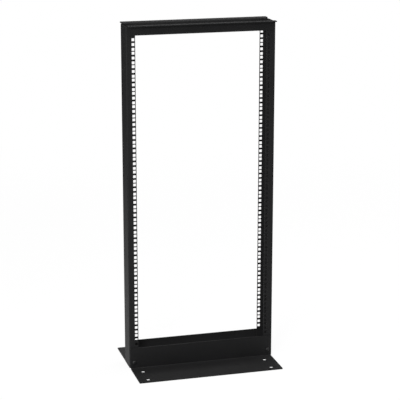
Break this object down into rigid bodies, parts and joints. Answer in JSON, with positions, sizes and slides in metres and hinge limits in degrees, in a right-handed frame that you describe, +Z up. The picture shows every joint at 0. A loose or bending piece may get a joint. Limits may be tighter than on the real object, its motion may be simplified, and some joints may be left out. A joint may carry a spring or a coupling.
{
  "type": "two post open frame rack",
  "caption": "Free-standing two post open frame rack: channel uprights with square equipment holes, joined by outward base angles with anchor holes and by outward top angles.",
  "frame": {"origin": "on the floor, in the middle of the base", "axes": "+Z up along the uprights, +X to the right across the rack, -Y toward the front"},
  "size_m": [0.5144, 0.3522, 1.1917],
  "materials": {
    "powder_coat": "satin black powder coat on sheet steel"
  },
  "bodies": {
    "root": {"left_upright": "powder_coat", "right_upright": "powder_coat", "front_base_angle": "powder_coat", "rear_base_angle": "powder_coat", "front_top_angle": "powder_coat", "rear_top_angle": "powder_coat"}
  },
  "joints": []
}
